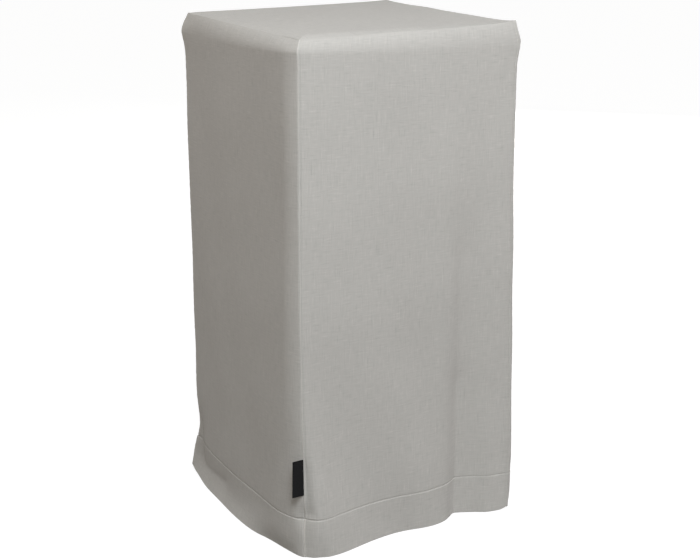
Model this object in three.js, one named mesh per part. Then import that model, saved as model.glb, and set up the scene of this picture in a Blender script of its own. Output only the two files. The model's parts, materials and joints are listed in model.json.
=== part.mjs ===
// Cloth cover for a tall, nearly square side table, in the shape in which it hangs.
//
// Millimetres, +Z up. The origin is on the floor under the middle of the cover. The front
// wall faces -Y and the left wall faces -X. Every panel is a closed sheet: an outer skin, an
// inner skin one cloth thickness inside it, and a rim that joins the two. The four walls are
// sewn to each other at the corner seams and to the top panel at the top seam.

import * as THREE from 'three';

// Driving sizes
const HEIGHT = 610;
const TOP_X = 285;
const TOP_Y = 299;
const TOP_MIDDLE = { x: -2.7, y: -6.5 };

// Cloth, seams and hem
const CLOTH = 1.8;
const HEM_CLOTH = 3;
const HEM_HEIGHT = 48;
const HEM_STEP = 1.5;
const GAP = 0.3;
const SEAM_PULL = 0.3;

// Soft upper edge. The top panel rolls down to its seams, which lie inside the walls and a little
// below the flat top. Each wall turns over the edge drop. Some corners stand up a little, over
// the lift power, and push out as ears just under the edge. At a tight corner the edge is drawn
// up into a shorter curve, and the cloth below it from the tight foot on.
const TOP_ROLL = 18;
const EDGE_DROP = 27;
const EDGE_BULGE = 0.3;
const CORNER_LIFT_POWER = 8;
const EAR_HEIGHT = HEIGHT - 22;
const EAR_SPREAD = 17;
const EAR_REACH = 40;
const TIGHT_FOOT = 480;

// A corner seam may be drawn in at this height, and kick out (in where negative) below the next
// one. A lifted hem rises at its corner and comes down again over this reach.
const WAIST_HEIGHT = 74;
const WAIST_SPREAD = 28;
const KICK_TOP = 66;
const LIFT_REACH = 75;
const LIFT_TOP = 120;

// How a fold dies out towards its top
const FADE_POWER = 2;

// Woven label, folded double and caught in the near left seam, from which it stands out to the
// left in the plane of the front wall. The width is the one at its top; its outer edge droops.
const LABEL = { width: 13.4, height: 45, foot: 80, thickness: 1.2, seamGap: 0.45, droop: 0.6 };
const LABEL_COLUMNS = 4;
const LABEL_ROWS = 5;

// Corner seams. The columns are the side of the cover; how far the top seam lies inside the top's
// corner along X and Y; how far it drops there, and how far the very corner is lifted again; how
// far the corner seam stands outside the top's corner along X and Y; the ear along X and Y; how
// much tighter the cloth turns over the edge there; how far the foot moves out along X and Y and
// the height where that begins; the waist; the kick along X and Y; and how far the hem is lifted.
const CORNERS = {
  nearLeft: {
    sideX: -1, sideY: -1, insetX: 3, insetY: 3, seamDrop: 4, topLift: 0,
    outX: 4.2, outY: 6, earX: 0.8, earY: 0, tight: 9,
    footX: -7.5, footY: -8.9, footTop: 310, waist: 0, kickX: 0, kickY: 0, lift: 0,
  },
  nearRight: {
    sideX: 1, sideY: -1, insetX: 0.3, insetY: 2.5, seamDrop: 1, topLift: 3,
    outX: -1.2, outY: 2.8, earX: 4.5, earY: 0.3, tight: 0,
    footX: 9.5, footY: -3.6, footTop: 455, waist: 0, kickX: -3.4, kickY: 0, lift: 0,
  },
  farRight: {
    sideX: 1, sideY: 1, insetX: 1.5, insetY: 3, seamDrop: 0.5, topLift: 1,
    outX: 2.5, outY: 2.5, earX: 2.5, earY: 1, tight: 0,
    footX: 4, footY: 3, footTop: 260, waist: 1.5, kickX: 2, kickY: 3, lift: 2,
  },
  farLeft: {
    sideX: -1, sideY: 1, insetX: 2, insetY: 2.5, seamDrop: 2.5, topLift: 0.5,
    outX: 1.4, outY: 2, earX: 3, earY: 4, tight: 0,
    footX: -2.7, footY: 0, footTop: 560, waist: 1.8, kickX: 1.9, kickY: 17.5, lift: 6.4,
  },
};

// Walls, counterclockwise from above. The columns are the corner where the wall starts and the
// one where it ends; the way it faces; how far it puffs out near the top and at the foot, or is
// hollow where negative; over what length it turns out of each corner; and how far along it a
// tight edge reaches.
const WALLS = {
  front: {
    from: 'nearLeft', to: 'nearRight', faceX: 0, faceY: -1, length: TOP_X,
    puffTop: 1.2, puffFoot: -5.2, turnFrom: 17, turnTo: 111, tightReach: 230, spacing: 9,
  },
  right: {
    from: 'nearRight', to: 'farRight', faceX: 1, faceY: 0, length: TOP_Y,
    puffTop: 8, puffFoot: 11, turnFrom: 18, turnTo: 60, tightReach: 50, spacing: 14,
  },
  back: {
    from: 'farRight', to: 'farLeft', faceX: 0, faceY: 1, length: TOP_X,
    puffTop: 8, puffFoot: 7, turnFrom: 30, turnTo: 50, tightReach: 50, spacing: 14,
  },
  left: {
    from: 'farLeft', to: 'nearLeft', faceX: -1, faceY: 0, length: TOP_Y,
    puffTop: 6.3, puffFoot: 14.4, turnFrom: 296, turnTo: 26, tightReach: 250, spacing: 13,
  },
};
const PUFF_BLEND = 450;

// Folds. A row gives the wall; the place along it from its first corner, at the hem; the half
// width; how far the hem moves out, or in where negative; the height where the fold dies out; and
// how far its middle slides along the wall for each millimetre of height.
const FOLDS = [
  { wall: 'front', at: 8.8, width: 7.5, out: 3.4, top: 292, slide: -0.01 },
  { wall: 'front', at: 27.7, width: 57.8, out: 18.4, top: 620, slide: -0.44 },
  { wall: 'front', at: 166.4, width: 41.5, out: -7.4, top: 620, slide: 0 },
  { wall: 'front', at: 171.2, width: 30.6, out: 10, top: 265, slide: -0.17 },
  { wall: 'front', at: 224.5, width: 20, out: -13.8, top: 556, slide: 0 },
  { wall: 'front', at: 245.7, width: 13, out: -4.1, top: 620, slide: 0 },
  { wall: 'front', at: 312, width: 32.6, out: -8.3, top: 420, slide: -0.19 },
  { wall: 'right', at: 14, width: 14, out: -4, top: 22, slide: 0 },
  { wall: 'right', at: 112, width: 34, out: 6, top: 250, slide: 0 },
  { wall: 'right', at: 178, width: 24, out: -12, top: 380, slide: 0.03 },
  { wall: 'right', at: 236, width: 28, out: 5, top: 220, slide: 0 },
  { wall: 'back', at: 44, width: 26, out: 6, top: 240, slide: 0 },
  { wall: 'back', at: 98, width: 23, out: -14, top: 430, slide: -0.03 },
  { wall: 'back', at: 196, width: 40, out: -6, top: 300, slide: 0.05 },
  { wall: 'left', at: -12, width: 47.5, out: -10, top: 72, slide: 0 },
  { wall: 'left', at: 219, width: 36.4, out: 3.4, top: 44.5, slide: 0 },
  { wall: 'left', at: 284, width: 18, out: -4.2, top: 330, slide: 0 },
];

// Flares and tucks of the hem. A row gives the wall; the place along it; the half width; how far
// the cloth stands out, or in where negative; the height of the middle; and the half height.
const FLARES = [
  { wall: 'front', at: 16.2, width: 7.6, out: -2.1, middle: -8.4, reach: 22 },
  { wall: 'left', at: -1.5, width: 26, out: 6.2, middle: 1, reach: 24 },
  { wall: 'left', at: 45, width: 87, out: 7.1, middle: -7, reach: 16 },
  { wall: 'left', at: 95, width: 90, out: 3, middle: 71, reach: 31.5 },
  { wall: 'left', at: 169.6, width: 73, out: 8.6, middle: -11, reach: 22.6 },
  { wall: 'left', at: 249.7, width: 44, out: -6, middle: -3.8, reach: 18.4 },
];

// Levels of a wall's grid: plain heights, then angles over the soft upper edge. The top panel's
// grid runs from edge to edge, as shares of its half width and half depth.
const FOOT_LEVELS = [0, 8, 16, 24, 35, HEM_HEIGHT - HEM_STEP, HEM_HEIGHT, 60, 74, 92, 116];
const WALL_LEVELS = [160, 225, 295, 365, 435, 500, 545, HEIGHT - EDGE_DROP];
const EDGE_ANGLES = [14, 28, 42, 56, 70, 90];
const CORNER_ZONE = 26;
const CORNER_SPACING = 6.5;
const TOP_MARKS = [-1, -0.97, -0.93, -0.87, -0.7, -0.35, 0, 0.35, 0.7, 0.87, 0.93, 0.97, 1];

// Cover cloth and label yarn
const CLOTH_COLOUR = 0xb2b0ab;
const LABEL_COLOUR = 0x0d0d0f;

function bell(distance, width) {
  return Math.exp(-((distance / width) ** 2));
}

function fade(z, top) {
  if (z >= top) return 0;
  return (1 - (z / top) ** 2) ** FADE_POWER;
}

function turnOut(t) {
  return t < 1 ? t * (2 - t) : 1;
}

function smooth(t) {
  const s = THREE.MathUtils.clamp(t, 0, 1);
  return s * s * (3 - 2 * s);
}

// One level of a wall: its height, and how far the cloth has turned over the upper edge
function wallLevels() {
  const plain = [...FOOT_LEVELS, ...WALL_LEVELS].map((z) => ({ z, turn: 0 }));
  const edge = EDGE_ANGLES.map((degrees) => {
    const turn = THREE.MathUtils.degToRad(degrees);
    return { z: HEIGHT - EDGE_DROP * (1 - Math.sin(turn)), turn };
  });
  return [...plain, ...edge];
}

function clothAt(level) {
  return level.z < HEM_HEIGHT ? HEM_CLOTH : CLOTH;
}

// How much of its way out of the top seam a wall has gone where it has turned this far
function edgeReach(turn) {
  const level = Math.cos(turn);
  return level * (EDGE_BULGE + (1 - EDGE_BULGE) * level);
}

// Where a corner seam is at one level without its ear, on the outer skin or `depth` inside it
function cornerPoint(corner, level, depth) {
  const { z } = level;
  const reach = edgeReach(level.turn);
  const waist = corner.waist * bell(z - WAIST_HEIGHT, WAIST_SPREAD);
  const kick = Math.max(0, 1 - z / KICK_TOP);
  const foot = fade(z, corner.footTop);
  const outX = corner.outX - waist + corner.footX * foot + corner.kickX * kick;
  const outY = corner.outY - waist + corner.footY * foot + corner.kickY * kick;
  const fromMiddleX = TOP_X / 2 + THREE.MathUtils.lerp(-corner.insetX, outX - depth, reach);
  const fromMiddleY = TOP_Y / 2 + THREE.MathUtils.lerp(-corner.insetY, outY - depth, reach);
  return {
    x: TOP_MIDDLE.x + corner.sideX * fromMiddleX,
    y: TOP_MIDDLE.y + corner.sideY * fromMiddleY,
  };
}

// How far a corner's ear pushes out a point of the wall at this distance from the corner
function earPush(corner, distance, level) {
  const nearness = Math.max(0, 1 - distance / EAR_REACH) ** 2;
  const size = nearness * bell(level.z - EAR_HEIGHT, EAR_SPREAD) * edgeReach(level.turn);
  return { x: corner.sideX * corner.earX * size, y: corner.sideY * corner.earY * size };
}

// How far a wall stands outside the line between its two corner seams
function wallSwell(name, along, level) {
  const wall = WALLS[name];
  const puff = THREE.MathUtils.lerp(wall.puffFoot, wall.puffTop, smooth(level.z / PUFF_BLEND));
  const fromTurn = turnOut(along / wall.turnFrom);
  const toTurn = turnOut((wall.length - along) / wall.turnTo);
  let folds = 0;
  for (const fold of FOLDS.filter((row) => row.wall === name)) {
    const distance = along - fold.at - fold.slide * level.z;
    folds += fold.out * bell(distance, fold.width) * fade(level.z, fold.top);
  }
  for (const flare of FLARES.filter((row) => row.wall === name)) {
    const sideways = bell(along - flare.at, flare.width);
    folds += flare.out * sideways * bell(level.z - flare.middle, flare.reach);
  }
  const nearest = Math.min(along, wall.length - along);
  const pinned = turnOut(nearest / CORNER_ZONE);
  return (puff * fromTurn * toTurn + folds * pinned) * edgeReach(level.turn);
}

// How far the top seam drops between two corners, `place` running from -1 to 1
function seamDrop(from, to, place) {
  return THREE.MathUtils.lerp(from.seamDrop, to.seamDrop, (place + 1) / 2);
}

// How far the very corners are lifted, at the same places
function cornerLift(from, to, place) {
  const corner = place < 0 ? from : to;
  return corner.topLift * Math.abs(place) ** CORNER_LIFT_POWER;
}

// How far the cloth is drawn up at a tight upper edge
function tightLift(wall, along, level) {
  const fromNear = Math.max(0, 1 - along / wall.tightReach) ** 2;
  const toNear = Math.max(0, 1 - (wall.length - along) / wall.tightReach) ** 2;
  const lift = CORNERS[wall.from].tight * fromNear + CORNERS[wall.to].tight * toNear;
  if (level.turn > 0) return lift * (1 - Math.sin(level.turn));
  return lift * smooth((level.z - TIGHT_FOOT) / (HEIGHT - EDGE_DROP - TIGHT_FOOT));
}

// How far a wall's point is raised: the hem at a lifted corner, a tight edge, and the line of the
// top seam
function wallRaise(wall, along, level) {
  const fromNear = Math.max(0, 1 - along / LIFT_REACH) ** 2;
  const toNear = Math.max(0, 1 - (wall.length - along) / LIFT_REACH) ** 2;
  const lift = CORNERS[wall.from].lift * fromNear + CORNERS[wall.to].lift * toNear;
  const hem = lift * Math.max(0, 1 - level.z / LIFT_TOP);
  const place = (2 * along) / wall.length - 1;
  const ends = [CORNERS[wall.from], CORNERS[wall.to]];
  const seam = cornerLift(...ends, place) - seamDrop(...ends, place);
  return hem + tightLift(wall, along, level) + seam * Math.sin(level.turn);
}

// A point of a wall, `along` it from its first corner, on its outer skin or `depth` inside it
function wallPoint(name, along, level, depth) {
  const wall = WALLS[name];
  const start = cornerPoint(CORNERS[wall.from], level, depth);
  const end = cornerPoint(CORNERS[wall.to], level, depth);
  const share = along / wall.length;
  const swell = wallSwell(name, along, level);
  const startEar = earPush(CORNERS[wall.from], along, level);
  const endEar = earPush(CORNERS[wall.to], wall.length - along, level);
  return new THREE.Vector3(
    THREE.MathUtils.lerp(start.x, end.x, share) + wall.faceX * swell + startEar.x + endEar.x,
    THREE.MathUtils.lerp(start.y, end.y, share) + wall.faceY * swell + startEar.y + endEar.y,
    level.z - depth * Math.sin(level.turn) + wallRaise(wall, along, level),
  );
}

// Places along a wall: close together near its corners, wider apart between them
function wallStations(wall) {
  const first = SEAM_PULL;
  const last = wall.length - SEAM_PULL;
  const cornerSteps = Math.round(CORNER_ZONE / CORNER_SPACING);
  const inner = last - first - 2 * CORNER_ZONE;
  const innerSteps = Math.round(inner / wall.spacing);
  const stations = [];
  for (let i = 0; i < cornerSteps; i += 1) {
    stations.push(first + (CORNER_ZONE * i) / cornerSteps);
  }
  for (let i = 0; i <= innerSteps; i += 1) {
    stations.push(first + CORNER_ZONE + (inner * i) / innerSteps);
  }
  for (let i = cornerSteps - 1; i >= 0; i -= 1) {
    stations.push(last - (CORNER_ZONE * i) / cornerSteps);
  }
  return stations;
}

// A closed sheet from two grids of points with the same layout. Seen from outside, columns run
// to the right and rows run up.
function closedSheet(columns, rows, outer, inner) {
  const positions = [];
  for (const skin of [outer, inner]) {
    for (let j = 0; j < rows; j += 1) {
      for (let i = 0; i < columns; i += 1) {
        positions.push(...skin(i, j).toArray());
      }
    }
  }
  const out = (i, j) => j * columns + i;
  const inn = (i, j) => (rows + j) * columns + i;
  const index = [];
  const quad = (a, b, c, d) => index.push(a, b, c, a, c, d);
  for (let j = 0; j + 1 < rows; j += 1) {
    for (let i = 0; i + 1 < columns; i += 1) {
      quad(out(i, j), out(i + 1, j), out(i + 1, j + 1), out(i, j + 1));
      quad(inn(i + 1, j), inn(i, j), inn(i, j + 1), inn(i + 1, j + 1));
    }
  }
  const right = columns - 1;
  const top = rows - 1;
  for (let i = 0; i < right; i += 1) {
    quad(out(i + 1, 0), out(i, 0), inn(i, 0), inn(i + 1, 0));
    quad(out(i, top), out(i + 1, top), inn(i + 1, top), inn(i, top));
  }
  for (let j = 0; j < top; j += 1) {
    quad(out(0, j), out(0, j + 1), inn(0, j + 1), inn(0, j));
    quad(out(right, j + 1), out(right, j), inn(right, j), inn(right, j + 1));
  }
  const geometry = new THREE.BufferGeometry();
  geometry.setAttribute('position', new THREE.Float32BufferAttribute(positions, 3));
  geometry.setIndex(index);
  return geometry;
}

function clothMaterial() {
  return new THREE.MeshStandardMaterial({ color: CLOTH_COLOUR, roughness: 0.92, metalness: 0 });
}

function labelMaterial() {
  return new THREE.MeshStandardMaterial({ color: LABEL_COLOUR, roughness: 0.6, metalness: 0 });
}

function namedMesh(name, geometry, material) {
  geometry.computeVertexNormals();
  const mesh = new THREE.Mesh(geometry, material);
  mesh.name = name;
  return mesh;
}

function wallPanel(name) {
  const stations = wallStations(WALLS[name]);
  const levels = wallLevels();
  const outer = (i, j) => wallPoint(name, stations[i], levels[j], 0);
  const inner = (i, j) => wallPoint(name, stations[i], levels[j], clothAt(levels[j]));
  const geometry = closedSheet(stations.length, levels.length, outer, inner);
  return namedMesh(`${name}_panel`, geometry, clothMaterial());
}

// The top: flat where it is carried, rolled down to its seams, its corners lifted or drawn down
function topPanel() {
  const { lerp } = THREE.MathUtils;
  const { nearLeft, nearRight, farRight, farLeft } = CORNERS;
  const seam = { z: HEIGHT, turn: Math.PI / 2 };
  const near = [cornerPoint(nearLeft, seam, 0), cornerPoint(nearRight, seam, 0)];
  const far = [cornerPoint(farLeft, seam, 0), cornerPoint(farRight, seam, 0)];
  const point = (i, j, depth) => {
    const across = TOP_MARKS[i] * (1 - (2 * GAP) / TOP_X);
    const back = TOP_MARKS[j] * (1 - (2 * GAP) / TOP_Y);
    const [right, rear] = [(across + 1) / 2, (back + 1) / 2];
    const toSeam = Math.min(TOP_X * (1 - Math.abs(across)), TOP_Y * (1 - Math.abs(back))) / 2;
    const roll = Math.max(0, 1 - toSeam / TOP_ROLL) ** 2;
    const nearDrop = seamDrop(nearLeft, nearRight, across);
    const drop = roll * lerp(nearDrop, seamDrop(farLeft, farRight, across), rear);
    const ends = back < 0 ? [nearLeft, nearRight] : [farLeft, farRight];
    const lift = cornerLift(...ends, across * Math.abs(back));
    return new THREE.Vector3(
      lerp(lerp(near[0].x, near[1].x, right), lerp(far[0].x, far[1].x, right), rear),
      lerp(lerp(near[0].y, near[1].y, right), lerp(far[0].y, far[1].y, right), rear),
      HEIGHT + lift - drop - depth,
    );
  };
  const outer = (i, j) => point(i, j, 0);
  const inner = (i, j) => point(i, j, CLOTH);
  const geometry = closedSheet(TOP_MARKS.length, TOP_MARKS.length, outer, inner);
  return namedMesh('top_panel', geometry, clothMaterial());
}

// The label's outer edge stands upright, and its inner edge follows the corner seam
function label() {
  const seamAt = (z) => cornerPoint(CORNERS.nearLeft, { z, turn: 0 }, 0);
  const outerEdge = seamAt(LABEL.foot + LABEL.height).x - LABEL.width;
  const point = (i, j, depth) => {
    const share = i / (LABEL_COLUMNS - 1);
    const z = LABEL.foot + (LABEL.height * j) / (LABEL_ROWS - 1);
    const seam = seamAt(z);
    return new THREE.Vector3(
      THREE.MathUtils.lerp(outerEdge, seam.x - LABEL.seamGap, share),
      seam.y - LABEL.thickness + depth,
      z - LABEL.droop * (1 - share),
    );
  };
  const outer = (i, j) => point(i, j, 0);
  const inner = (i, j) => point(i, j, LABEL.thickness);
  return namedMesh('label', closedSheet(LABEL_COLUMNS, LABEL_ROWS, outer, inner), labelMaterial());
}

const cover = new THREE.Group();
cover.add(topPanel());
for (const name of Object.keys(WALLS)) {
  cover.add(wallPanel(name));
}
cover.add(label());

export default cover;
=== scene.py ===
# Cloth cover for a tall, nearly square side table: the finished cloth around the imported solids.
#
# Lengths are millimetres here and metres in the meshes. Each panel is a thin closed sheet on the
# folds of its solid, with what the solid leaves out: seams, hem, stitches, puckers and weave.

import json
import math

import bpy
import numpy as np
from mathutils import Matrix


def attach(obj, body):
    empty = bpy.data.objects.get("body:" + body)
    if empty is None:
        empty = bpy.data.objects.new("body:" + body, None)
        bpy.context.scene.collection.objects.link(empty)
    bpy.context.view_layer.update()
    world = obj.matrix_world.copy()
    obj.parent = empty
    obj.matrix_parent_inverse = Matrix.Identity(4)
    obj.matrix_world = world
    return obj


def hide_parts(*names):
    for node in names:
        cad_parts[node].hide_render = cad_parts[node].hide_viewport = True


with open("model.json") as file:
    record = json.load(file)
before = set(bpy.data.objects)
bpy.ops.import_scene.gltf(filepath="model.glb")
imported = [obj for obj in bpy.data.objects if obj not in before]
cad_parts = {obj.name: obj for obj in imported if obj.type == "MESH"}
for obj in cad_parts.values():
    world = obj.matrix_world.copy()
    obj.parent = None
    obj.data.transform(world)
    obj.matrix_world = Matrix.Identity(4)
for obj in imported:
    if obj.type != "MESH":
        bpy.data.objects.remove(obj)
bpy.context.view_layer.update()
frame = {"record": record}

MM = 0.001

# Main sizes, as in the solids, with the middle of the top from its mount
HEIGHT = 610
TOP_X = 285
TOP_Y = 299
HEM_HEIGHT = 48
TOP_MIDDLE_X, TOP_MIDDLE_Y, _ = (value / MM for value in frame["record"]["mounts"][0]["pos_m"])

# Upper edge, as in the solids: how far from its seams the top rolls down, how far below the top a
# wall begins to turn over the edge and how full that turn is, how sharply the top's lift gathers
# at its corners, and the height above which a tight edge draws the cloth up
TOP_ROLL = 18
EDGE_DROP = 27
EDGE_BULGE = 0.3
CORNER_LIFT_POWER = 8
TIGHT_FOOT = 480

# Ears of the upper corners, as in the solids: middle height, half height, reach along the walls
EAR_HEIGHT = HEIGHT - 22
EAR_SPREAD = 17
EAR_REACH = 40

# Foot of the corner seams, as in the solids: middle and half height of the waist, top of the kick,
# and how far along the walls and how high the lift of the hem reaches
WAIST_HEIGHT = 74
WAIST_SPREAD = 28
KICK_TOP = 66
LIFT_REACH = 75
LIFT_TOP = 120

# Walls, as in the solids: how sharply folds fade out upwards, the height over which the swelling
# changes from foot to top, and how near a seam the folds and the top's unevenness flatten out
FADE_POWER = 2
PUFF_BLEND = 450
CORNER_ZONE = 26

# Corner seams: side of the cover; the top seam's inset, drop and lift; the corner seam's distance
# outside the top's corner; ear; tightness of the upper edge; move of the foot and where that
# begins; waist; kick; lift of the hem
CORNERS = {
    "nearLeft": dict(sideX=-1, sideY=-1, insetX=3, insetY=3, seamDrop=4, topLift=0,
                     outX=4.2, outY=6, earX=0.8, earY=0, tight=9,
                     footX=-7.5, footY=-8.9, footTop=310, waist=0, kickX=0, kickY=0, lift=0),
    "nearRight": dict(sideX=1, sideY=-1, insetX=0.3, insetY=2.5, seamDrop=1, topLift=3,
                      outX=-1.2, outY=2.8, earX=4.5, earY=0.3, tight=0,
                      footX=9.5, footY=-3.6, footTop=455, waist=0, kickX=-3.4, kickY=0, lift=0),
    "farRight": dict(sideX=1, sideY=1, insetX=1.5, insetY=3, seamDrop=0.5, topLift=1,
                     outX=2.5, outY=2.5, earX=2.5, earY=1, tight=0,
                     footX=4, footY=3, footTop=260, waist=1.5, kickX=2, kickY=3, lift=2),
    "farLeft": dict(sideX=-1, sideY=1, insetX=2, insetY=2.5, seamDrop=2.5, topLift=0.5,
                    outX=1.4, outY=2, earX=3, earY=4, tight=0,
                    footX=-2.7, footY=0, footTop=560, waist=1.8, kickX=1.9, kickY=17.5, lift=6.4),
}
NEAR_CORNERS = CORNERS["nearLeft"], CORNERS["nearRight"]
FAR_CORNERS = CORNERS["farLeft"], CORNERS["farRight"]

# Walls: first and last corner, the way it faces, swelling near the top and at the foot, over what
# length it turns out of each corner, and how far along it a tight edge reaches
WALLS = {
    "front": dict(start="nearLeft", end="nearRight", faceX=0, faceY=-1, length=TOP_X,
                  puffTop=1.2, puffFoot=-5.2, turnStart=17, turnEnd=111, tightReach=230),
    "right": dict(start="nearRight", end="farRight", faceX=1, faceY=0, length=TOP_Y,
                  puffTop=8, puffFoot=11, turnStart=18, turnEnd=60, tightReach=50),
    "back": dict(start="farRight", end="farLeft", faceX=0, faceY=1, length=TOP_X,
                 puffTop=8, puffFoot=7, turnStart=30, turnEnd=50, tightReach=50),
    "left": dict(start="farLeft", end="nearLeft", faceX=-1, faceY=0, length=TOP_Y,
                 puffTop=6.3, puffFoot=14.4, turnStart=296, turnEnd=26, tightReach=250),
}

# Folds: wall, place at the hem, half width, how far out, height where it ends, slide per height
FOLDS = [
    ("front", 8.8, 7.5, 3.4, 292, -0.01),
    ("front", 27.7, 57.8, 18.4, 620, -0.44),
    ("front", 166.4, 41.5, -7.4, 620, 0),
    ("front", 171.2, 30.6, 10, 265, -0.17),
    ("front", 224.5, 20, -13.8, 556, 0),
    ("front", 245.7, 13, -4.1, 620, 0),
    ("front", 312, 32.6, -8.3, 420, -0.19),
    ("right", 14, 14, -4, 22, 0),
    ("right", 112, 34, 6, 250, 0),
    ("right", 178, 24, -12, 380, 0.03),
    ("right", 236, 28, 5, 220, 0),
    ("back", 44, 26, 6, 240, 0),
    ("back", 98, 23, -14, 430, -0.03),
    ("back", 196, 40, -6, 300, 0.05),
    ("left", -12, 47.5, -10, 72, 0),
    ("left", 219, 36.4, 3.4, 44.5, 0),
    ("left", 284, 18, -4.2, 330, 0),
]

# Flares and tucks of the hem: wall, place, half width, how far out, middle height, half height
FLARES = [
    ("front", 16.2, 7.6, -2.1, -8.4, 22),
    ("left", -1.5, 26, 6.2, 1, 24),
    ("left", 45, 87, 7.1, -7, 16),
    ("left", 95, 90, 3, 71, 31.5),
    ("left", 169.6, 73, 8.6, -11, 22.6),
    ("left", 249.7, 44, -6, -3.8, 18.4),
]

# Sharp creases, which the solids leave out: wall, depth, how far to each side the cloth slopes into
# the crease, and its course as places along the wall and heights. Then how rounded a crease is at
# its bottom, and how near a corner seam it fades out.
CREASES = [
    ("left", 2.1, 6.5, [(9, 78), (14, 55), (19, 41), (24, 28), (33, 21), (50, 20.5), (74, 22.5),
                        (110, 25)]),
    ("left", 1.7, 9, [(232, -4), (262, -3), (284, -5)]),
    ("front", 1.3, 4.5, [(2, 112), (3, 84), (4.5, 57)]),
    ("front", 1.2, 8, [(213, 340), (216, 297), (217.5, 220), (217.5, 100), (220, 0)]),
    ("front", 2.4, 11, [(220.5, 180), (221, 100), (223, 0)]),
]
CREASE_ROUND = 1
CREASE_PIN = 6

# Hollow of the corner seams above the stiff hem: depth at each corner, then how far it reaches
# along the walls, and its middle height and half height
HOLLOWS = {"nearLeft": 2.4, "nearRight": 0.5, "farRight": 0.8, "farLeft": 0.5}
HOLLOW_REACH = 7
HOLLOW_HEIGHT = 52
HOLLOW_SPREAD = 13

# Rounded ends of the hem: rise of its foot at each corner, how far along the walls and how high
HEM_ROUNDS = {"nearLeft": 0, "nearRight": 4, "farRight": 2, "farLeft": 0}
ROUND_REACH = 10
ROUND_TOP = 80

# Cloth: its thickness, that of the double hem and the height over which it changes, and how far
# the cloth's edges stay from the middle of a seam
CLOTH = 1.0
HEM_CLOTH = 2.2
HEM_STEP = 1.5
SEAM_MOUTH = 0.06

# Seams: depth and width of the roll round a corner seam, height and width of the top seam's welt,
# and about how far out of the top seam a wall turns
CORNER_ROLL = 0.55
CORNER_ROLL_WIDTH = 1.3
TOP_WELT = 0.2
TOP_WELT_WIDTH = 1.1
EDGE_OUT = 7

# Hem: groove of its stitching, and how far it stands out of the cloth above, over what height
HEM_GROOVE = 0.5
HEM_GROOVE_AT = HEM_HEIGHT + 0.3
HEM_GROOVE_WIDTH = 0.8
HEM_STAND = 0.25
HEM_STAND_STEP = 1.4

# Stitching beside the corner seams: its walls, its distance from the seam and its groove, and the
# uneven pull of its threads, which the stiff hem hardly feels
STITCHED_WALLS = ("front", "back")
TOP_STITCH_AT = 2.7
STITCH_GROOVE = 0.5
STITCH_GROOVE_WIDTH = 0.7
TENSION = 0.7
TENSION_SWING = 0.3
TENSION_PERIODS = (227, 149)
HEM_TENSION = 0.2

# Stitches: pitch, length and thickness, how far their line lies outside the cloth, how far their
# ends sink below that line and their middle rises above it, how steeply they do, what share of the
# thickness the ends keep, and the sides and rings of their mesh
STITCH_PITCH = 3.4
STITCH_LENGTH = 2.7
THREAD = 0.45
STITCH_OUT = 0.1
STITCH_SINK = 0.3
STITCH_CROWN = 0.12
STITCH_ARCH_POWER = 0.6
STITCH_END = 0.55
STITCH_SIDES = 6
STITCH_RINGS = 5

# Rows of stitches: where the first one starts at the hem and at a corner seam, and the room that
# is kept free at the end of a row
FIRST_HEM_STITCH = 2.2
FIRST_SEAM_STITCH = 3.0
ROW_END = 4

# Puckers along a seam, and the slow unevenness of a panel, with their wave lengths. The waves of
# the unevenness lean a little. The shifts only move waves along, so that no two panels are alike.
HEM_PUCKERS = dict(depth=0.2, width=8, periods=(9.1, 13.7, 6.3))
SEAM_PUCKERS = dict(depth=0.16, width=9, periods=(11.3, 17.9, 8.1))
WALL_DRIFT = dict(depth=0.3, along=(97, 141), up=(163, 119), leanAlong=0.35, leanUp=0.2)
TOP_DRIFT = dict(depth=0.12, along=(83, 127), up=(109, 149), leanAlong=0.4, leanUp=0.3)
TOP_DRIFT_SHIFTS = (2.1, 1.3)
FIRST_SHIFT = 1.7

# Grids: lines lie close together beside the seams. Ends of the fine and the medium band, and the
# spacings in them and in the middle.
WALL_GRID = dict(fine=6, medium=14, spacings=(0.35, 1.4, 2.6))
TOP_GRID = dict(fine=6, medium=24, spacings=(0.6, 1.5, 3.2))

# Rows of a wall: heights from and to, and their spacing, close together at the foot and the top
# of the hem. Then the same in degrees, where the wall turns over the upper edge.
HEM_BAND = 4
WALL_ROWS = [
    (0, 1.6, 0.4),
    (1.6, HEM_HEIGHT - HEM_BAND, 3.0),
    (HEM_HEIGHT - HEM_BAND, HEM_HEIGHT + HEM_BAND, 0.45),
    (HEM_HEIGHT + HEM_BAND, HEIGHT - EDGE_DROP, 3.6),
]
EDGE_TURNS = [(3, 75, 3.5), (75, 90, 1.5)]

# Label: height of its foot, its size, the thickness of the folded label and of its tape, droop and
# bow of its outer edge, and how far its ends reach into the seam
LABEL_FOOT = 80
LABEL_HEIGHT = 45
LABEL_WIDTH = 13.4
LABEL_THICKNESS = 1.2
LABEL_TAPE = 0.42
LABEL_DROOP = 0.6
LABEL_BOW = 0.35
LABEL_IN_SEAM = 0.3

# Grid of the label: spacing of its rows, step along each layer as a share of it, degrees in the
# fold from line to line
LABEL_ROW = 1.5
LABEL_STEP = 0.1
LABEL_FOLD_STEP = 22.5

# Threads of the weave: pitch, roundness, how far they wave over and under each other, and over
# what length their tone changes. The last two keep apart, in the noise that gives the tone,
# neighbouring threads, and warp and weft.
THREAD_PITCH = 0.8
THREAD_CROWN = 0.7
THREAD_WAVE = 0.5
THREAD_CHANGE = 26
THREAD_APART = 7.31
THREAD_LAYER = 3.7

# Slubs: length, thickness and layer of noise of those in the weft and in the warp, and contrast
WEFT_SLUBS = (14, 1.6, 0.0)
WARP_SLUBS = (17, 1.7, 5.0)
SLUB_CONTRAST = 4.5

# Cloudiness of the cloth: its size and layer of noise
CLOUD_SIZE = 70
CLOUD_LAYER = 9.0

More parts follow.
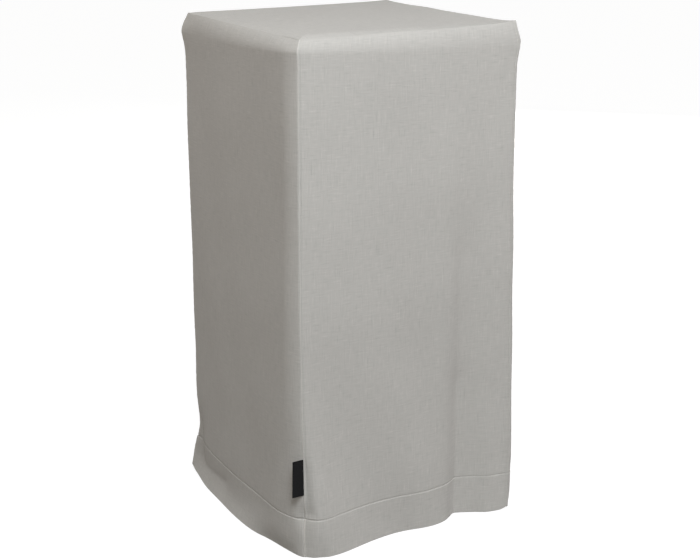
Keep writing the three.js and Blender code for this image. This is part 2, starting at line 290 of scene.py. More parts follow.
# Cover cloth: its colour, how much each thing changes its tone, with painted shade in the weave's
# dips, and the height of its relief
CLOTH_RGB = (0.452, 0.436, 0.405)
THREAD_TONE = 0.15
SLUB_TONE = 0.28
CLOUD_TONE = 0.07
WEAVE_DIP_SHADE = 0.08
MIDDLE_HEIGHT = 0.8
SLUB_HEIGHT = 1.2
WEAVE_RELIEF = 0.09

# Each panel has a piece of weave of its own, this far from the next one. The front has the first,
# so only its edge in the near left corner seam is at 0, where a painted highlight makes the cloth
# paler by this much, and by so much more on the hem.
WEAVE_PIECE = 400
SEAM_HIGHLIGHT = 0.32
HEM_SEAM_HIGHLIGHT = 0.5
SEAM_HIGHLIGHT_WIDTH = 1.5

# Sewing thread: its tone beside the cloth's, how uneven that is, and its flecks per metre
SEWING_TONE = 0.92
SEWING_UNEVENNESS = 0.3
SEWING_FLECKS = 2400.0

# Label tape: colour, pitch and tone of its ribs, fineness of its grain, and height of its relief
TAPE_RGB = (0.0045, 0.0045, 0.005)
TAPE_RIB = 0.55
TAPE_RIB_TONE = 0.25
TAPE_GRAIN = 3.0
TAPE_RELIEF = 0.05

# Soft light. A lamp has its azimuth from the front towards the left, its elevation, its distance
# from the cover's middle and its diameter in metres, its power in watts, and its colour.
WORLD_LIGHT = 0.239
WORLD_RGB = (1.038, 1.0, 0.941)
LAMPS = [
    ("key", 16, 46, 3.0, 1.6, 85.7, (0.952, 1.0, 1.049)),
    ("left fill", 95, 35, 1.3, 0.8, 2.05, (1.139, 1.0, 0.92)),
    ("right fill", -35, 30, 3.0, 1.6, 11.4, (1.1, 1.0, 1.04)),
    ("back fill", -138, 4, 3.0, 0.9, 26, (1.03, 0.97, 0.9)),
]

# Floor: half its width in metres, which is also how far off the backdrop stands, how far it lies
# below the cover in millimetres, its colour, and how strongly it glows
FLOOR_SIZE = 20
FLOOR_SINK = 0.2
FLOOR_RGBA = (0.12, 0.12, 0.12, 1)
FLOOR_LIGHT = 0.93

# Backdrop: foot and top in metres, number of its sides, and how strongly it glows
BACKDROP_FOOT = -1.0
BACKDROP_HEIGHT = 15
BACKDROP_SIDES = 96
BACKDROP_LIGHT = 0.97

BLACK = (0, 0, 0, 1)
WHITE = (1, 1, 1, 1)

# Camera at the photograph's viewing angle: place, pitch and yaw in degrees, width of the photograph
# and focal length in its pixels, width of the sensor, and how far it sees in metres
CAMERA_PLACE = (-918.6, -1648.9, 811.3)
CAMERA_PITCH = 15.662
CAMERA_YAW = 29.276
PHOTO_WIDTH = 700
FOCAL_PIXELS = 1565.985
SENSOR = 36
CAMERA_SIGHT = 100


def bell(distance, width):
    """From 1 in the middle to nearly 0 at twice this width."""
    return np.exp(-((distance / width) ** 2))


def nearness(distance, reach):
    """From 1 here to 0 at this reach, falling fast at first."""
    return np.clip(1 - distance / reach, 0, None) ** 2


def fade(z, top):
    """From 1 at the floor to 0 at this height."""
    return np.clip(1 - (z / top) ** 2, 0, None) ** FADE_POWER * (z < top)


def turn_out(t):
    """From 0 to 1, rising fast at first."""
    t = np.clip(t, 0, 1)
    return t * (2 - t)


def smooth(t):
    """From 0 to 1, gently at both ends."""
    t = np.clip(t, 0, 1)
    return t * t * (3 - 2 * t)


def lerp(a, b, share):
    """What lies this share of the way from a to b."""
    return a + (b - a) * share


def edge_reach(turn):
    """How much of its way out of the top seam a wall has gone where it has turned this far."""
    level = np.cos(turn)
    return level * (EDGE_BULGE + (1 - EDGE_BULGE) * level)


def corner_point(corner, z, turn, depth):
    """Where a corner seam is at one height without its ear, `depth` inside the outer skin."""
    reach = edge_reach(turn)
    waist = corner["waist"] * bell(z - WAIST_HEIGHT, WAIST_SPREAD)
    kick = np.clip(1 - z / KICK_TOP, 0, None)
    foot = fade(z, corner["footTop"])
    out_x = corner["outX"] - waist + corner["footX"] * foot + corner["kickX"] * kick
    out_y = corner["outY"] - waist + corner["footY"] * foot + corner["kickY"] * kick
    from_middle_x = TOP_X / 2 + lerp(-corner["insetX"], out_x - depth, reach)
    from_middle_y = TOP_Y / 2 + lerp(-corner["insetY"], out_y - depth, reach)
    x = TOP_MIDDLE_X + corner["sideX"] * from_middle_x
    y = TOP_MIDDLE_Y + corner["sideY"] * from_middle_y
    return x, y


def ear_push(corner, distance, z, turn):
    """How far a corner's ear pushes out a point of the wall at this distance from the corner."""
    size = nearness(distance, EAR_REACH) * bell(z - EAR_HEIGHT, EAR_SPREAD) * edge_reach(turn)
    return corner["sideX"] * corner["earX"] * size, corner["sideY"] * corner["earY"] * size


def wall_swell(name, along, z, turn):
    """How far a wall stands outside the line between its two corner seams."""
    wall = WALLS[name]
    puff = lerp(wall["puffFoot"], wall["puffTop"], smooth(z / PUFF_BLEND))
    from_start = turn_out(along / wall["turnStart"])
    from_end = turn_out((wall["length"] - along) / wall["turnEnd"])
    folds = 0
    for _, at, width, out, top, slide in (row for row in FOLDS if row[0] == name):
        folds = folds + out * bell(along - at - slide * z, width) * fade(z, top)
    for _, at, width, out, middle, reach in (row for row in FLARES if row[0] == name):
        folds = folds + out * bell(along - at, width) * bell(z - middle, reach)
    pinned = turn_out(np.minimum(along, wall["length"] - along) / CORNER_ZONE)
    return (puff * from_start * from_end + folds * pinned) * edge_reach(turn)


def seam_drop(start, end, place):
    """How far the top seam drops between two corners, `place` running from -1 to 1."""
    return lerp(start["seamDrop"], end["seamDrop"], (place + 1) / 2)


def corner_lift(start, end, place):
    """How far the very corners are lifted, at the same places."""
    lift = np.where(place < 0, start["topLift"], end["topLift"])
    return lift * np.abs(place) ** CORNER_LIFT_POWER


def each_corner(key):
    """One value of every corner, by the corner's name."""
    return {name: corner[key] for name, corner in CORNERS.items()}


def lift_at_ends(wall, along, reach, lifts):
    """A lift that is greatest at a wall's two ends and gone at this reach from them."""
    at_start = lifts[wall["start"]] * nearness(along, reach)
    at_end = lifts[wall["end"]] * nearness(wall["length"] - along, reach)
    return at_start + at_end


def round_lift(wall, along, z):
    """How far the hem's rounded ends rise."""
    return lift_at_ends(wall, along, ROUND_REACH, HEM_ROUNDS) * nearness(z, ROUND_TOP)


def tight_lift(wall, along, z, turn):
    """How far the cloth is drawn up at a tight upper edge."""
    lift = lift_at_ends(wall, along, wall["tightReach"], each_corner("tight"))
    below = smooth((z - TIGHT_FOOT) / (HEIGHT - EDGE_DROP - TIGHT_FOOT))
    return lift * np.where(turn > 0, 1 - np.sin(turn), below)


def wall_raise(name, along, z, turn):
    """How far a point is raised: hem at a lifted corner, tight edge, and line of the top seam."""
    wall = WALLS[name]
    ends = CORNERS[wall["start"]], CORNERS[wall["end"]]
    lift = lift_at_ends(wall, along, LIFT_REACH, each_corner("lift"))
    hem = lift * np.clip(1 - z / LIFT_TOP, 0, None)
    hem = hem + round_lift(wall, along, z)
    place = 2 * along / wall["length"] - 1
    seam = corner_lift(*ends, place) - seam_drop(*ends, place)
    return hem + tight_lift(wall, along, z, turn) + seam * np.sin(turn)


def wall_points(name, along, z, turn, depth):
    """Points of a wall, `along` it from its first corner and `depth` inside its outer skin."""
    wall = WALLS[name]
    start, end = CORNERS[wall["start"]], CORNERS[wall["end"]]
    start_x, start_y = corner_point(start, z, turn, depth)
    end_x, end_y = corner_point(end, z, turn, depth)
    share = along / wall["length"]
    swell = wall_swell(name, along, z, turn)
    start_ear = ear_push(start, along, z, turn)
    end_ear = ear_push(end, wall["length"] - along, z, turn)
    x = lerp(start_x, end_x, share) + wall["faceX"] * swell + start_ear[0] + end_ear[0]
    y = lerp(start_y, end_y, share) + wall["faceY"] * swell + start_ear[1] + end_ear[1]
    height = z - depth * np.sin(turn) + wall_raise(name, along, z, turn)
    return np.stack(np.broadcast_arrays(x, y, height), axis=-1)


def waves(place, periods, shift):
    """A gentle uneven wave: sines of a few periods, each shifted by its own amount."""
    total = 0
    for number, period in enumerate(periods):
        total = total + np.sin(2 * math.pi * place / period + shift * (number + FIRST_SHIFT))
    return total / len(periods)


def slow_drift(drift, along, up, shifts):
    """Depth of a panel's slow unevenness: two leaning waves that cross."""
    first = waves(along + drift["leanAlong"] * up, drift["along"], shifts[0])
    second = waves(up - drift["leanUp"] * along, drift["up"], shifts[1])
    return drift["depth"] * (first + second)


def pucker(kind, place, distance, shift):
    """Depth of the puckers along a seam, at a place along it and a distance from it."""
    return kind["depth"] * (waves(place, kind["periods"], shift) * bell(distance, kind["width"]))


def corner_roll(distance):
    """Depth of the cloth where it rolls round a corner seam."""
    return CORNER_ROLL * nearness(distance, CORNER_ROLL_WIDTH)


def top_welt(distance):
    """Depth of the cloth beside the top seam, which stands up as a thin welt."""
    return -TOP_WELT * bell(distance, TOP_WELT_WIDTH)


def course_distance(along, z, course):
    """How far points of a wall are from a course through several points of it."""
    nearest = np.inf
    for (x1, z1), (x2, z2) in zip(course, course[1:]):
        run_x, run_z = x2 - x1, z2 - z1
        share = ((along - x1) * run_x + (z - z1) * run_z) / (run_x**2 + run_z**2)
        share = np.clip(share, 0, 1)
        distance = np.hypot(along - x1 - share * run_x, z - z1 - share * run_z)
        nearest = np.minimum(nearest, distance)
    return nearest


def crease_depth(name, along, z):
    """Depth of a wall's sharp creases."""
    total = np.zeros(np.broadcast(along, z).shape)
    for _, depth, width, course in (row for row in CREASES if row[0] == name):
        distance = np.hypot(course_distance(along, z, course), CREASE_ROUND) - CREASE_ROUND
        total = total + depth * np.exp(-distance / width)
    return total


def hollow_depth(wall, along, z):
    """Depth of the hollows in which a wall's two corner seams lie above the hem."""
    near_start = HOLLOWS[wall["start"]] * np.exp(-along / HOLLOW_REACH)
    near_end = HOLLOWS[wall["end"]] * np.exp((along - wall["length"]) / HOLLOW_REACH)
    return (near_start + near_end) * bell(z - HOLLOW_HEIGHT, HOLLOW_SPREAD)


def stitch_groove(to_corner, z, shift):
    """Depth of the groove of the stitching beside a corner seam, deeper where it is tight."""
    tension = TENSION + TENSION_SWING * waves(z, TENSION_PERIODS, shift)
    tension = tension * lerp(HEM_TENSION, 1, smooth((z - HEM_HEIGHT) / HEM_STEP))
    return tension * STITCH_GROOVE * bell(to_corner - TOP_STITCH_AT, STITCH_GROOVE_WIDTH)


def wall_relief(name, along, z, turn):
    """Depth of all low relief in a wall's cloth, negative where it stands out."""
    wall = WALLS[name]
    shift = 1 + list(WALLS).index(name)
    to_corner = np.minimum(along, wall["length"] - along)
    to_top = np.hypot(EDGE_DROP * (1 - np.sin(turn)), EDGE_OUT * edge_reach(turn))
    depth = corner_roll(to_corner) * edge_reach(turn) + top_welt(to_top)
    depth = depth + hollow_depth(wall, along, z)
    if name in STITCHED_WALLS:
        depth = depth + stitch_groove(to_corner, z, shift)
    depth = depth + HEM_GROOVE * bell(z - HEM_GROOVE_AT, HEM_GROOVE_WIDTH)
    depth = depth + crease_depth(name, along, z) * turn_out(to_corner / CREASE_PIN)
    depth = depth - HEM_STAND * smooth((HEM_HEIGHT - z) / HEM_STAND_STEP)
    depth = depth + pucker(HEM_PUCKERS, along, z - HEM_HEIGHT, shift)
    depth = depth + pucker(SEAM_PUCKERS, z, to_corner, shift)
    return depth + slow_drift(WALL_DRIFT, along, z, (shift, shift))


def edge_round(z, radius):
    """How far the skins draw together towards the folded foot of the hem."""
    inside = np.clip(radius - z, 0, radius)
    return radius - np.sqrt(radius**2 - inside**2)


def runs(*parts):
    """Places along a line from parts of (start, end, spacing)."""
    places = []
    for start, end, spacing in parts:
        steps = max(1, round((end - start) / spacing))
        places.append(np.linspace(start, end, steps, endpoint=False))
    return np.append(np.concatenate(places), parts[-1][1])


def wall_columns(length):
    """Places of a wall's columns, close together beside its corner seams."""
    fine, medium = WALL_GRID["fine"], WALL_GRID["medium"]
    fine_spacing, medium_spacing, wide_spacing = WALL_GRID["spacings"]
    return runs(
        (SEAM_MOUTH, fine, fine_spacing),
        (fine, medium, medium_spacing),
        (medium, length - medium, wide_spacing),
        (length - medium, length - fine, medium_spacing),
        (length - fine, length - SEAM_MOUTH, fine_spacing),
    )


def wall_rows():
    """Heights of a wall's rows, and how far the cloth has turned over the upper edge there."""
    plain = runs(*WALL_ROWS)
    turns = np.radians(runs(*EDGE_TURNS))
    curved = HEIGHT - EDGE_DROP * (1 - np.sin(turns))
    return np.append(plain, curved), np.append(np.zeros(len(plain)), turns)


def run_lengths(points, axis):
    """Distance along the cloth, averaged over its grid, for the weave's coordinates."""
    step = np.linalg.norm(np.diff(points, axis=axis), axis=-1).mean(axis=1 - axis)
    return np.append(0, np.cumsum(step))


def make_object(name, vertices, faces):
    """An object from an array of points in metres and, for each face, the numbers of its points."""
    mesh = bpy.data.meshes.new(name)
    mesh.from_pydata(vertices.tolist(), [], faces)
    mesh.validate()
    obj = bpy.data.objects.new(name, mesh)
    bpy.context.scene.collection.objects.link(obj)
    return obj


def quads(a, b, c, d):
    """Faces from four equal arrays, one for each of their corners."""
    return np.stack([a.ravel(), b.ravel(), c.ravel(), d.ravel()], axis=-1)


def sheet_object(name, outer, inner, number=0, smooth_angle=40):
    """A closed sheet from two grids of points in millimetres; its number sets its piece of weave."""
    rows, columns = outer.shape[:2]
    vertices = np.concatenate([outer.reshape(-1, 3), inner.reshape(-1, 3)]) * MM
    out = np.arange(rows * columns).reshape(rows, columns)
    inn = out + rows * columns
    faces = np.concatenate([
        quads(out[:-1, :-1], out[:-1, 1:], out[1:, 1:], out[1:, :-1]),
        quads(inn[:-1, 1:], inn[:-1, :-1], inn[1:, :-1], inn[1:, 1:]),
        quads(out[0, 1:], out[0, :-1], inn[0, :-1], inn[0, 1:]),
        quads(out[-1, :-1], out[-1, 1:], inn[-1, 1:], inn[-1, :-1]),
        quads(out[:-1, 0], out[1:, 0], inn[1:, 0], inn[:-1, 0]),
        quads(out[1:, -1], out[:-1, -1], inn[:-1, -1], inn[1:, -1]),
    ])
    obj = make_object(name, vertices, faces.tolist())
    mesh = obj.data
    mesh.shade_smooth()
    mesh.set_sharp_from_angle(angle=math.radians(smooth_angle))
    u, v = np.meshgrid(run_lengths(outer, 1) + number * WEAVE_PIECE, run_lengths(outer, 0))
    place = np.tile(np.stack([u, v], axis=-1).reshape(-1, 2), (2, 1)) * MM
    corners = np.zeros(len(mesh.loops), int)
    mesh.loops.foreach_get("vertex_index", corners)
    layer = mesh.uv_layers.new(name="weave")
    layer.uv.foreach_set("vector", place[corners].astype(np.float32).ravel())
    return obj


def wall_panel(name):
    """One wall's cloth, thicker at the hem and rounded at its foot."""
    wall = WALLS[name]
    along = wall_columns(wall["length"])[None, :]
    z, turn = (values[:, None] for values in wall_rows())
    relief = wall_relief(name, along, z, turn)
    cloth = lerp(HEM_CLOTH, CLOTH, smooth((z - HEM_HEIGHT + HEM_STEP) / HEM_STEP))
    foot = edge_round(z, HEM_CLOTH / 2)
    outer = wall_points(name, along, z, turn, relief + foot)
    inner = wall_points(name, along, z, turn, relief + cloth - foot)
    return sheet_object(f"{name}_cloth", outer, inner, list(WALLS).index(name))


def top_marks(length):
    """Places across the top from -1 to 1, close together beside its seams."""
    fine, medium, middle = TOP_GRID["fine"], TOP_GRID["medium"], length / 2
    fine_spacing, medium_spacing, wide_spacing = TOP_GRID["spacings"]
    half = runs(
        (SEAM_MOUTH, fine, fine_spacing),
        (fine, medium, medium_spacing),
        (medium, middle, wide_spacing),
    )
    shares = 1 - half / middle
    return np.concatenate([-shares[:-1], shares[::-1]])


def top_plan(across, back):
    """Plan of the top: even lines between its four corners."""
    edges = []
    for pair in (NEAR_CORNERS, FAR_CORNERS):
        left_end, right_end = (corner_point(corner, HEIGHT, math.pi / 2, 0) for corner in pair)
        edges.append([lerp(a, b, (across + 1) / 2) for a, b in zip(left_end, right_end)])
    near_edge, far_edge = edges
    return [lerp(a, b, (back + 1) / 2) for a, b in zip(near_edge, far_edge)]


def top_panel():
    """The top: flat in the middle, rolled down to its seams, its corners lifted or drawn down."""
    across = top_marks(TOP_X)[None, :]
    back = top_marks(TOP_Y)[:, None]
    x, y = top_plan(across, back)
    to_edge = np.minimum(TOP_X * (1 - np.abs(across)), TOP_Y * (1 - np.abs(back))) / 2
    seams = [seam_drop(*pair, across) for pair in (NEAR_CORNERS, FAR_CORNERS)]
    drop = nearness(to_edge, TOP_ROLL) * lerp(*seams, (back + 1) / 2)
    lifts = [corner_lift(*pair, across * np.abs(back)) for pair in (NEAR_CORNERS, FAR_CORNERS)]
    lift = np.where(back < 0, *lifts)
    drift = slow_drift(TOP_DRIFT, x, y, TOP_DRIFT_SHIFTS)
    depth = top_welt(to_edge) + drift * turn_out(to_edge / CORNER_ZONE)

    def skin(inside):
        z = HEIGHT + lift - drop - depth - inside
        return np.stack(np.broadcast_arrays(x, y, z), axis=-1)

    return sheet_object("top_cloth", skin(0), skin(CLOTH), len(WALLS))


def stitch_points(starts, ends, outward):
    """Points of a row of stitches, each a short thread whose ends go into the cloth."""
    share = np.linspace(0, 1, STITCH_RINGS)
    arch = np.sin(math.pi * share)
    rise = -STITCH_SINK + (STITCH_SINK + STITCH_CROWN) * arch**STITCH_ARCH_POWER
    girth = THREAD / 2 * (STITCH_END + (1 - STITCH_END) * np.sqrt(arch))
    run = ends - starts
    run = run / np.linalg.norm(run, axis=-1, keepdims=True)
    side = np.cross(run, outward)
    side = side / np.linalg.norm(side, axis=-1, keepdims=True)
    up = np.cross(side, run)
    spine = starts[:, None] + (ends - starts)[:, None] * share[:, None]
    spine = spine + up[:, None] * rise[:, None]
    angle = np.arange(STITCH_SIDES) * 2 * math.pi / STITCH_SIDES
    ring = side[:, None, None] * np.cos(angle)[:, None] + up[:, None, None] * np.sin(angle)[:, None]
    return (spine[:, :, None] + ring * girth[:, None, None]).reshape(-1, 3)


def stitch_faces():
    """Faces of one stitch: a tube and its two ends."""
    base = np.arange(STITCH_RINGS - 1)[:, None] * STITCH_SIDES + np.arange(STITCH_SIDES)[None, :]
    ahead = np.roll(base, -1, axis=1)
    tube = quads(base, ahead, ahead + STITCH_SIDES, base + STITCH_SIDES).tolist()
    last_ring = (STITCH_RINGS - 1) * STITCH_SIDES
    first_end = list(reversed(range(STITCH_SIDES)))
    last_end = list(range(last_ring, last_ring + STITCH_SIDES))
    return tube + [first_end, last_end]


def join_stitches(name, rows):
    """One object from several rows of stitches."""
    vertices = np.concatenate(rows) * MM
    stitch = stitch_faces()
    stitch_size = STITCH_SIDES * STITCH_RINGS
    faces = []
    for first in range(0, len(vertices), stitch_size):
        faces.extend([[index + first for index in face] for face in stitch])
    obj = make_object(name, vertices, faces)
    obj.data.shade_smooth()
    return obj


def face_of(name):
    """The way a wall faces."""
    return np.array([WALLS[name]["faceX"], WALLS[name]["faceY"], 0.0])


def on_wall(name, along, z):
    """Points on the line of a wall's stitches, just outside its cloth."""
    along, z = np.broadcast_arrays(np.asarray(along, float), np.asarray(z, float))
    depth = wall_relief(name, along, z, 0 * z) - STITCH_OUT
    return wall_points(name, along, z, 0 * z, depth)


def hem_stitches():
    """Stitches along the top of the hem, all the way round."""
    rows = []
    for name, wall in WALLS.items():
        start = np.arange(FIRST_HEM_STITCH, wall["length"] - ROW_END, STITCH_PITCH)
        starts = on_wall(name, start, HEM_HEIGHT)
        ends = on_wall(name, start + STITCH_LENGTH, HEM_HEIGHT)
        rows.append(stitch_points(starts, ends, face_of(name)))
    return join_stitches("hem_stitches", rows)


def seam_stitches():
    """Stitches beside the four corner seams."""
    rows = []
    for name in STITCHED_WALLS:
        for along in (TOP_STITCH_AT, WALLS[name]["length"] - TOP_STITCH_AT):
            start = np.arange(FIRST_SEAM_STITCH, HEIGHT - EDGE_DROP - ROW_END, STITCH_PITCH)
            starts = on_wall(name, along, start)
            ends = on_wall(name, along, start + STITCH_LENGTH)
            rows.append(stitch_points(starts, ends, face_of(name)))
    return join_stitches("seam_stitches", rows)


def label():
    """A tape folded double: the plan runs from the seam out to the fold and back again."""
    top = LABEL_FOOT + LABEL_HEIGHT
    z = runs((LABEL_FOOT, top, LABEL_ROW))[:, None]
    seam_x, seam_y = corner_point(CORNERS["nearLeft"], z, 0 * z, 0)
    top_x, _ = corner_point(CORNERS["nearLeft"], float(top), 0.0, 0)
    radius = (LABEL_THICKNESS - LABEL_TAPE) / 2
    fold_x = top_x - LABEL_WIDTH + radius + LABEL_TAPE / 2
    turn = np.radians(runs((90, 270, LABEL_FOLD_STEP)))
    layer = runs((0, 1, LABEL_STEP))[:-1]
    run = np.concatenate([1 - layer, 0 * turn, layer[1:], [1.0]])
    side = np.concatenate([-radius + 0 * layer, -radius * np.sin(turn), radius + 0 * layer])
    reach = np.concatenate([0 * layer, radius * np.cos(turn), 0 * layer])
    normal = np.concatenate([0 * layer + math.pi / 2, turn, 0 * layer + 3 * math.pi / 2])
    bow = np.sin(math.pi * (z - LABEL_FOOT) / LABEL_HEIGHT)

    def skin(offset):
        x = lerp(fold_x, seam_x + LABEL_IN_SEAM, run)
        x = x + reach + offset * np.cos(normal)
        y = seam_y - LABEL_THICKNESS / 2 + side - offset * np.sin(normal)
        y = y - LABEL_BOW * (1 - run) ** 2 * bow
        height = z - LABEL_DROOP * (1 - run)
        return np.stack(np.broadcast_arrays(x, y, height), axis=-1)

    return sheet_object("side_label", skin(LABEL_TAPE / 2), skin(-LABEL_TAPE / 2), smooth_angle=60)


class Tree:
    """Short calls for the nodes of one material."""

    def __init__(self, name):
        self.material = bpy.data.materials.new(name)
        self.material.use_nodes = True
        self.tree = self.material.node_tree
        self.shader = self.tree.nodes["Principled BSDF"]

    def put(self, value, socket):
        """Links a socket to a node's output, or sets its value."""
        if isinstance(value, bpy.types.NodeSocket):
            self.tree.links.new(value, socket)
        else:
            socket.default_value = value

    def math(self, operation, a, b=0.0, clamp=False):
        node = self.tree.nodes.new("ShaderNodeMath")
        node.operation = operation
        node.use_clamp = clamp
        self.put(a, node.inputs[0])
        self.put(b, node.inputs[1])
        return node.outputs[0]

    def plus(self, total, value, amount):
        """The total and so much of a value."""
        return self.math("ADD", total, self.math("MULTIPLY", value, amount))

    def vector(self, x, y, z=0.0):
        node = self.tree.nodes.new("ShaderNodeCombineXYZ")
        for value, socket in zip((x, y, z), node.inputs):
            self.put(value, socket)
        return node.outputs[0]

    def noise(self, vector, scale=1.0, detail=1.0):
        """Noise around 0."""
        node = self.tree.nodes.new("ShaderNodeTexNoise")
        self.put(vector, node.inputs["Vector"])
        node.inputs["Scale"].default_value = scale
        node.inputs["Detail"].default_value = detail
        return self.math("SUBTRACT", node.outputs["Fac"], 0.5)

    def weave_place(self):
        """The two weave coordinates, in millimetres along the cloth."""
        node = self.tree.nodes.new("ShaderNodeUVMap")
        node.uv_map = "weave"
        split = self.tree.nodes.new("ShaderNodeSeparateXYZ")
        self.tree.links.new(node.outputs[0], split.inputs[0])
        return (self.math("MULTIPLY", split.outputs[k], 1 / MM) for k in (0, 1))

    def colour(self, colour, factor):
        """Gives the surface this colour, made lighter or darker by the factor."""
        node = self.tree.nodes.new("ShaderNodeVectorMath")
        node.operation = "SCALE"
        node.inputs[0].default_value = colour
        self.put(factor, node.inputs["Scale"])
        self.put(node.outputs[0], self.shader.inputs["Base Color"])

    def bump(self, height, distance):
        node = self.tree.nodes.new("ShaderNodeBump")
        node.inputs["Strength"].default_value = 1.0
        node.inputs["Distance"].default_value = distance
        self.tree.links.new(height, node.inputs["Height"])
        self.tree.links.new(node.outputs[0], self.shader.inputs["Normal"])

    def surface(self, values):
        """Sets the shader's own sockets by name."""
        for name, value in values.items():
            self.shader.inputs[name].default_value = value


def threads(tree, across, along, sign):
    """One set of parallel threads: its height over the cloth, and each thread's own tone."""
    number = tree.math("FLOOR", across)
    middle = tree.math("SUBTRACT", tree.math("SUBTRACT", across, number), 0.5)
    crown = tree.math("COSINE", tree.math("MULTIPLY", middle, math.pi))
    crossing = tree.math("ADD", tree.math("SUBTRACT", along, 0.5), number)
    wave = tree.math("COSINE", tree.math("MULTIPLY", crossing, math.pi))
    over = tree.math("MULTIPLY", wave, sign * THREAD_WAVE)
    height = tree.math("ADD", tree.math("MULTIPLY", crown, THREAD_CROWN), over)
    own_line = tree.math("MULTIPLY", number, THREAD_APART)
    on_line = tree.math("MULTIPLY", along, THREAD_PITCH / THREAD_CHANGE)
    place = tree.vector(own_line, on_line, sign * THREAD_LAYER)
    return height, tree.noise(place, detail=2.0)


def weave(tree, u, v):
    """Plain weave: height of the thread that lies on top, and its tone."""
    across = tree.math("DIVIDE", u, THREAD_PITCH)
    up = tree.math("DIVIDE", v, THREAD_PITCH)
    warp_height, warp_tone = threads(tree, across, up, 1)
    weft_height, weft_tone = threads(tree, up, across, -1)
    warp_on_top = tree.math("GREATER_THAN", warp_height, weft_height)
    height = tree.math("MAXIMUM", warp_height, weft_height)
    warp_share = tree.math("MULTIPLY", warp_tone, warp_on_top)
    weft_share = tree.math("MULTIPLY", weft_tone, tree.math("SUBTRACT", 1.0, warp_on_top))
    return height, tree.math("ADD", warp_share, weft_share)


def streaks(tree, u, v, length, thickness, layer):
    """Sparse slubs: streaks of this length and thickness, most of the cloth between them plain."""
    place = tree.vector(tree.math("DIVIDE", u, length), tree.math("DIVIDE", v, thickness), layer)
    noise = tree.noise(place)
    sparse = tree.math("MULTIPLY", noise, tree.math("ABSOLUTE", noise))
    return tree.math("MULTIPLY", sparse, SLUB_CONTRAST)


def painted_seam_highlight(tree, u, v):
    """Painted highlight: how much paler the cloth is painted at the front's edge in the near left
    corner seam.
    """
    at_seam = tree.math("SUBTRACT", 1.0, tree.math("DIVIDE", u, SEAM_HIGHLIGHT_WIDTH), clamp=True)
    on_hem = tree.math("MULTIPLY", tree.math("LESS_THAN", v, HEM_HEIGHT), HEM_SEAM_HIGHLIGHT)
    return tree.math("MULTIPLY", at_seam, tree.math("ADD", on_hem, SEAM_HIGHLIGHT))


def cloth_material():
    """Linen-like plain weave: uneven warp and weft threads, with thicker slubs here and there."""
    tree = Tree("cover_cloth")
    u, v = tree.weave_place()
    height, thread_tone = weave(tree, u, v)
    slub = tree.math("ADD", streaks(tree, u, v, *WEFT_SLUBS), streaks(tree, v, u, *WARP_SLUBS))
    cloudy = tree.noise(tree.vector(u, v, CLOUD_LAYER), 1 / CLOUD_SIZE, 2.0)
    tone = tree.math("MULTIPLY", thread_tone, THREAD_TONE)
    tone = tree.plus(tone, slub, SLUB_TONE)
    tone = tree.plus(tone, cloudy, CLOUD_TONE)
    # Painted highlight along the front's edge in the near left corner seam, paler still on the hem
    tone = tree.math("ADD", tone, painted_seam_highlight(tree, u, v))
    # Painted shade: the dips between the threads are darker and the thread tops lighter
    tone = tree.plus(tone, tree.math("SUBTRACT", height, MIDDLE_HEIGHT), WEAVE_DIP_SHADE)
    tree.colour(CLOTH_RGB, tree.math("ADD", tone, 1.0))
    tree.bump(tree.plus(height, slub, SLUB_HEIGHT), WEAVE_RELIEF * MM)
    tree.surface({
        "Roughness": 0.92,
        "Specular IOR Level": 0.25,
        "Sheen Weight": 0.12,
        "Sheen Roughness": 0.5,
    })
    return tree.material


def thread_material():
    """Sewing thread in about the cloth's colour, a little uneven."""
    tree = Tree("sewing_thread")
    node = tree.tree.nodes.new("ShaderNodeTexCoord")
    flecks = tree.noise(node.outputs["Object"], SEWING_FLECKS)
    unevenness = tree.math("MULTIPLY", flecks, SEWING_UNEVENNESS)
    tree.colour(CLOTH_RGB, tree.math("ADD", unevenness, SEWING_TONE))
    tree.surface({"Roughness": 0.6, "Specular IOR Level": 0.3})
    return tree.material


def label_material():
    """Black woven tape with fine ribs across it."""
    tree = Tree("label_weave")
    u, v = tree.weave_place()
    rib = tree.math("SINE", tree.math("MULTIPLY", v, 2 * math.pi / TAPE_RIB))
    grain = tree.noise(tree.vector(u, v), TAPE_GRAIN, 2.0)
    rib_tone = tree.math("MULTIPLY", rib, TAPE_RIB_TONE)
    tree.colour(TAPE_RGB, tree.math("ADD", rib_tone, tree.math("ADD", grain, 1.0)))
    tree.bump(tree.math("ADD", rib, grain), TAPE_RELIEF * MM)
    tree.surface({"Roughness": 0.6, "Specular IOR Level": 0.12})
    return tree.material


def dress(obj, material, nodes=()):
    """Gives a piece its material and its body, and hides the solids that it replaces."""
    obj.data.materials.append(material)
    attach(obj, "root")
    if nodes:
        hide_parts(*nodes)
    return obj


def make_camera():
    camera = bpy.data.objects.new("camera", bpy.data.cameras.new("camera"))
    bpy.context.scene.collection.objects.link(camera)
    camera.location = [value * MM for value in CAMERA_PLACE]
    camera.rotation_euler = (math.radians(90 - CAMERA_PITCH), 0, math.radians(-CAMERA_YAW))
    camera.data.sensor_width = SENSOR
    camera.data.lens = FOCAL_PIXELS / PHOTO_WIDTH * SENSOR
    camera.data.clip_end = CAMERA_SIGHT
    bpy.context.scene.camera = camera


def area_light(name, azimuth, elevation, distance, size, power, colour):
    """A soft lamp that looks at the cover's middle. Azimuth 0 is in front, 90 at the left."""
    lamp = bpy.data.objects.new(name, bpy.data.lights.new(name, "AREA"))
    bpy.context.scene.collection.objects.link(lamp)
    turn = math.radians(azimuth)
    rise = math.radians(elevation)
    level = math.cos(rise)
    aim = np.array([-math.sin(turn) * level, -math.cos(turn) * level, math.sin(rise)])
    lamp.location = aim * distance + np.array([0, 0, HEIGHT / 2 * MM])
    lamp.rotation_euler = (math.pi / 2 - rise, 0, -turn)
    lamp.data.shape = "DISK"
    lamp.data.size = size
    lamp.data.energy = power
    lamp.data.color = colour
    lamp.visible_camera = False


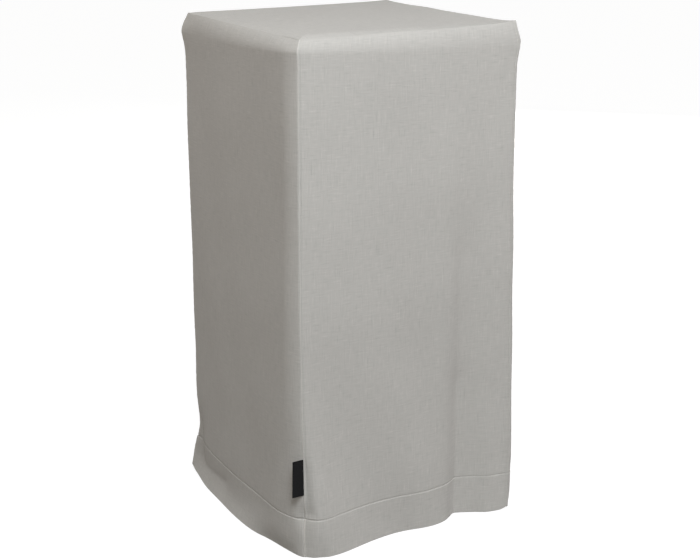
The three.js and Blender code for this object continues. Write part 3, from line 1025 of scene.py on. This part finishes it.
def make_lights():
    world = bpy.data.worlds.new("studio")
    world.use_nodes = True
    bpy.context.scene.world = world
    background = world.node_tree.nodes["Background"]
    background.inputs["Color"].default_value = (*WORLD_RGB, 1)
    background.inputs["Strength"].default_value = WORLD_LIGHT
    for lamp in LAMPS:
        area_light(*lamp)
    bpy.context.scene.view_settings.view_transform = "Standard"


def make_floor():
    """A pale floor. Its own glow keeps it plain and nearly white, and hardly lights the cloth."""
    vertices = np.array([(-1, -1, 0), (1, -1, 0), (1, 1, 0), (-1, 1, 0)], float) * FLOOR_SIZE
    floor = make_object("floor", vertices - np.array([0, 0, FLOOR_SINK * MM]), [[0, 1, 2, 3]])
    tree = Tree("pale_floor")
    tree.surface({
        "Base Color": FLOOR_RGBA,
        "Roughness": 0.9,
        "Emission Color": WHITE,
        "Emission Strength": FLOOR_LIGHT,
    })
    floor.data.materials.append(tree.material)
    floor.visible_diffuse = False


def make_backdrop():
    """A white ring wall far behind the floor, which only the camera sees."""
    turn = np.linspace(0, 2 * math.pi, BACKDROP_SIDES, endpoint=False)
    circle = np.stack([np.cos(turn), np.sin(turn)], axis=-1) * FLOOR_SIZE
    heights = (BACKDROP_FOOT, BACKDROP_HEIGHT)
    rings = [np.column_stack([circle, np.full(len(circle), z)]) for z in heights]
    first = np.arange(len(circle))
    ahead = np.roll(first, -1)
    faces = quads(first, ahead, ahead + len(circle), first + len(circle))
    backdrop = make_object("backdrop", np.concatenate(rings), faces.tolist())
    tree = Tree("pale_backdrop")
    tree.surface({
        "Base Color": BLACK,
        "Specular IOR Level": 0,
        "Emission Color": WHITE,
        "Emission Strength": BACKDROP_LIGHT,
    })
    backdrop.data.materials.append(tree.material)
    backdrop.visible_diffuse = False
    backdrop.visible_glossy = False
    backdrop.visible_shadow = False


def main():
    make_camera()
    make_lights()
    make_floor()
    make_backdrop()
    cloth = cloth_material()
    thread = thread_material()
    panels = {name: wall_panel(name) for name in WALLS}
    top = dress(top_panel(), cloth, ["top_panel"])
    for name, panel in panels.items():
        dress(panel, cloth, [f"{name}_panel"])
    dress(hem_stitches(), thread)
    dress(seam_stitches(), thread)
    tape = dress(label(), label_material(), ["label"])


main()
